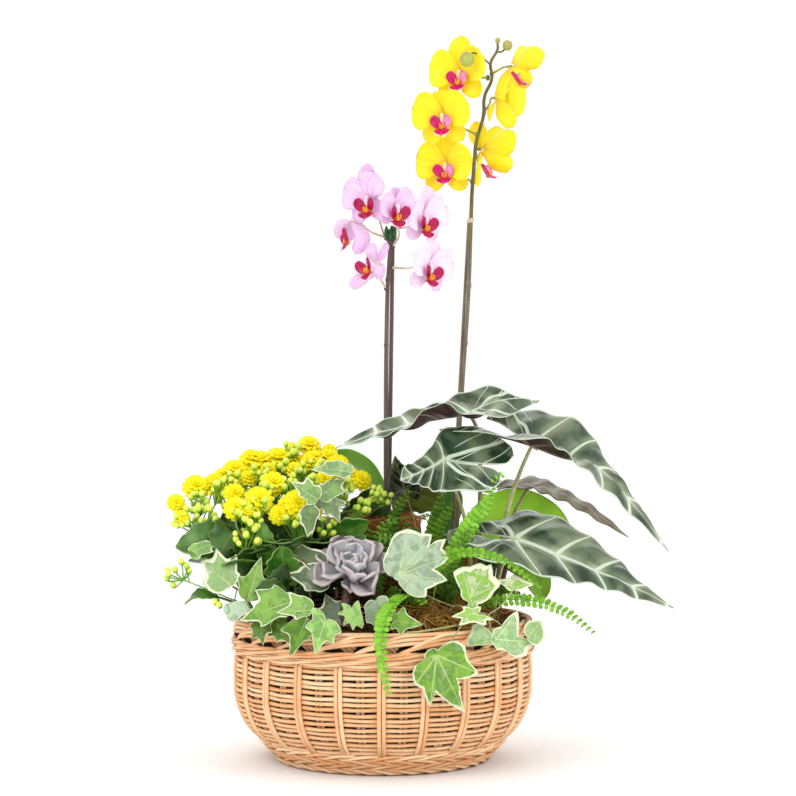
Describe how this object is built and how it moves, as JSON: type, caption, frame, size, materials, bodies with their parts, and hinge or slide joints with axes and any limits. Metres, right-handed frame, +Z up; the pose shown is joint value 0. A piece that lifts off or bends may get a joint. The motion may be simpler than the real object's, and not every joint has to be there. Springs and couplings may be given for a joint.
{
  "type": "planted moth orchid arrangement in a basket",
  "caption": "Moth orchids on tall spikes with alocasia, kalanchoe, ivy, button fern and an echeveria, planted together in a round wicker basket.",
  "frame": {"origin": "middle of the basket's underside, on the surface that it stands on", "axes": "+Z up along the flower spikes, -Y the front that most flowers look to, +X to the side of the alocasia"},
  "size_m": [0.4917, 0.321, 0.7245],
  "materials": {
    "wicker": "satin",
    "liner": "matte",
    "soil": "matte",
    "root_ball": "matte",
    "moss": "matte",
    "pink_petals": "satin",
    "yellow_petals": "satin",
    "flower_spike": "satin",
    "stake": "matte",
    "clip": "satin",
    "orchid_leaf": "satin",
    "alocasia_leaf": "satin",
    "kalanchoe_bloom": "satin",
    "kalanchoe_leaf": "satin",
    "succulent": "matte",
    "ivy": "satin",
    "fern": "satin"
  },
  "bodies": {
    "root": {"alocasia_leaf_1": "alocasia_leaf", "alocasia_leaf_2": "alocasia_leaf", "alocasia_leaf_3": "alocasia_leaf", "alocasia_leaf_4": "alocasia_leaf", "alocasia_leaf_5": "alocasia_leaf", "alocasia_leaf_6": "alocasia_leaf", "basket_base": "wicker", "basket_border": "wicker", "basket_foot_wale": "wicker", "basket_liner": "liner", "basket_rim_wale": "wicker", "basket_stakes": "wicker", "basket_weave": "wicker", "echeveria": "succulent", "fern_frond_1": "fern", "fern_frond_2": "fern", "fern_frond_3": "fern", "fern_frond_4": "fern", "ivy_sprig_dark": "ivy", "ivy_sprig_front": "ivy", "ivy_sprig_front_left": "ivy", "ivy_sprig_left": "ivy", "ivy_sprig_right": "ivy", "ivy_sprig_top": "ivy", "kalanchoe_head_1": "kalanchoe_bloom", "kalanchoe_head_2": "kalanchoe_bloom", "kalanchoe_head_3": "kalanchoe_bloom", "kalanchoe_head_4": "kalanchoe_bloom", "kalanchoe_head_5": "kalanchoe_bloom", "kalanchoe_head_6": "kalanchoe_bloom", "kalanchoe_head_7": "kalanchoe_bloom", "kalanchoe_leaf_1": "kalanchoe_leaf", "kalanchoe_leaf_2": "kalanchoe_leaf", "moss_pad": "moss", "pink_flower_1": "pink_petals", "pink_flower_2": "pink_petals", "pink_flower_3": "pink_petals", "pink_flower_4": "pink_petals", "pink_flower_5": "pink_petals", "pink_flower_6": "pink_petals", "pink_orchid_clip": "clip", "pink_orchid_leaf_1": "orchid_leaf", "pink_orchid_leaf_2": "orchid_leaf", "pink_orchid_root_ball": "root_ball", "pink_orchid_spike": "flower_spike", "pink_orchid_stake": "stake", "potting_soil": "soil", "yellow_flower_1": "yellow_petals", "yellow_flower_2": "yellow_petals", "yellow_flower_3": "yellow_petals", "yellow_flower_4": "yellow_petals", "yellow_flower_5": "yellow_petals", "yellow_flower_6": "yellow_petals", "yellow_orchid_leaf_1": "orchid_leaf", "yellow_orchid_leaf_2": "orchid_leaf", "yellow_orchid_leaf_3": "orchid_leaf", "yellow_orchid_root_ball": "root_ball", "yellow_orchid_spike": "flower_spike", "yellow_orchid_stake": "stake"}
  },
  "joints": []
}
